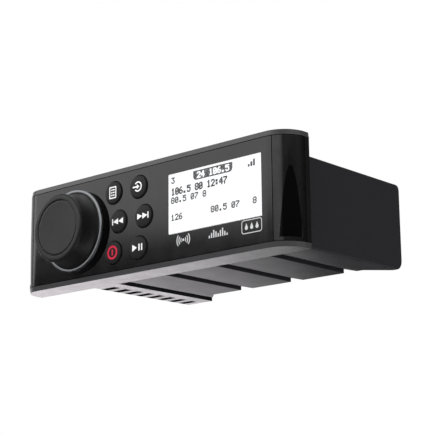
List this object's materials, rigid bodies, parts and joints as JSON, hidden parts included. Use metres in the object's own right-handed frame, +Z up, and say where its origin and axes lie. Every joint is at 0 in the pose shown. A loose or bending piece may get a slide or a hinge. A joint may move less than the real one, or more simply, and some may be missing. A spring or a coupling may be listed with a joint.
{
  "type": "marine stereo head unit",
  "caption": "Flush-mount marine stereo with a wide rounded fascia, large volume knob, round push buttons, backlit display and a shallow finned chassis behind.",
  "frame": {"origin": "centre of the mounting screw holes, on the rear face of the fascia", "axes": "+X to the right seen from the front, +Y rearward along the screws, +Z up"},
  "size_m": [0.1736, 0.1126, 0.052],
  "materials": {
    "fascia_plastic": "satin fine-grained moulding",
    "panel_plastic": "satin",
    "cover_plastic": "satin",
    "knob_rubber": "soft matt",
    "button_rubber": "soft matt",
    "bright_ring": "satin",
    "lens_glass": "clear",
    "lcd_glass": "backlit",
    "white_plastic": "diffusing",
    "inner_plastic": "moulded",
    "steel": "plated",
    "brass": "turned",
    "black_rubber": "matt",
    "circuit_board": "solder mask",
    "chassis_metal": "satin powder coat",
    "sink_metal": "black anodised",
    "chip_plastic": "moulded",
    "sleeve_plastic": "shrink sleeve",
    "thermal_pad": "soft",
    "cable_film": "polyester film"
  },
  "bodies": {
    "chassis": {"fascia_bezel": "fascia_plastic", "front_panel": "panel_plastic", "display_lens": "lens_glass", "lcd_glass": "lcd_glass", "backlight_panel": "white_plastic", "ribbon_connectors": "white_plastic", "lcd_holder": "inner_plastic", "encoder_housing": "inner_plastic", "button_switches": "inner_plastic", "fascia_backplate": "inner_plastic", "harness_socket": "inner_plastic", "line_out_socket": "inner_plastic", "network_socket": "inner_plastic", "tuner_port": "inner_plastic", "encoder_nut": "steel", "control_board_screws": "steel", "fascia_screws": "steel", "chip_clamp": "steel", "clamp_screws": "steel", "tuner_module": "steel", "aerial_socket": "steel", "chassis_screws": "steel", "cover_screws": "steel", "rear_panel_screws": "steel", "board_screws": "steel", "heat_sink_screws": "steel", "encoder_bush": "brass", "shaft_seal": "black_rubber", "keypad_mat": "black_rubber", "mounting_gasket": "black_rubber", "control_board": "circuit_board", "main_board": "circuit_board", "chassis_tub": "chassis_metal", "top_cover": "chassis_metal", "rear_panel": "chassis_metal", "heat_sink": "sink_metal", "amplifier_chip": "chip_plastic", "processor_chips": "chip_plastic", "power_inductor": "chip_plastic", "reservoir_capacitors": "sleeve_plastic", "thermal_pad": "thermal_pad", "ribbon_cable": "cable_film"},
    "push": {"encoder_plunger": "white_plastic"},
    "knob": {"volume_knob": "knob_rubber", "knob_cap": "knob_rubber", "knob_ring": "bright_ring", "encoder_shaft": "steel"},
    "left_cover": {"left_screw_cover": "cover_plastic"},
    "right_cover": {"right_screw_cover": "cover_plastic"},
    "menu": {"menu_button": "button_rubber"},
    "source": {"source_button": "button_rubber"},
    "previous": {"previous_button": "button_rubber"},
    "next": {"next_button": "button_rubber"},
    "power": {"power_button": "button_rubber"},
    "play_pause": {"play_pause_button": "button_rubber"}
  },
  "joints": [
    {"name": "knob_push", "type": "slide", "parent": "chassis", "child": "push", "axis": [0, 1, 0], "range_m": [0, 0.0006], "stiffness_N_per_m": 4000},
    {"name": "knob_turn", "type": "hinge", "parent": "push", "child": "knob", "pos_m": [-0.04225, -0.02, -0.0012], "axis": [0, 1, 0], "continuous": true},
    {"name": "menu_press", "type": "slide", "parent": "chassis", "child": "menu", "axis": [0, 1, 0], "range_m": [0, 0.0008], "stiffness_N_per_m": 2500},
    {"name": "source_press", "type": "slide", "parent": "chassis", "child": "source", "axis": [0, 1, 0], "range_m": [0, 0.0008], "stiffness_N_per_m": 2500},
    {"name": "previous_press", "type": "slide", "parent": "chassis", "child": "previous", "axis": [0, 1, 0], "range_m": [0, 0.0008], "stiffness_N_per_m": 2500},
    {"name": "next_press", "type": "slide", "parent": "chassis", "child": "next", "axis": [0, 1, 0], "range_m": [0, 0.0008], "stiffness_N_per_m": 2500},
    {"name": "power_press", "type": "slide", "parent": "chassis", "child": "power", "axis": [0, 1, 0], "range_m": [0, 0.0008], "stiffness_N_per_m": 2500},
    {"name": "play_pause_press", "type": "slide", "parent": "chassis", "child": "play_pause", "axis": [0, 1, 0], "range_m": [0, 0.0008], "stiffness_N_per_m": 2500},
    {"name": "left_cover_pull", "type": "slide", "parent": "chassis", "child": "left_cover", "axis": [-1, 0, 0], "range_m": [0, 0.025]},
    {"name": "right_cover_pull", "type": "slide", "parent": "chassis", "child": "right_cover", "axis": [1, 0, 0], "range_m": [0, 0.025]}
  ]
}
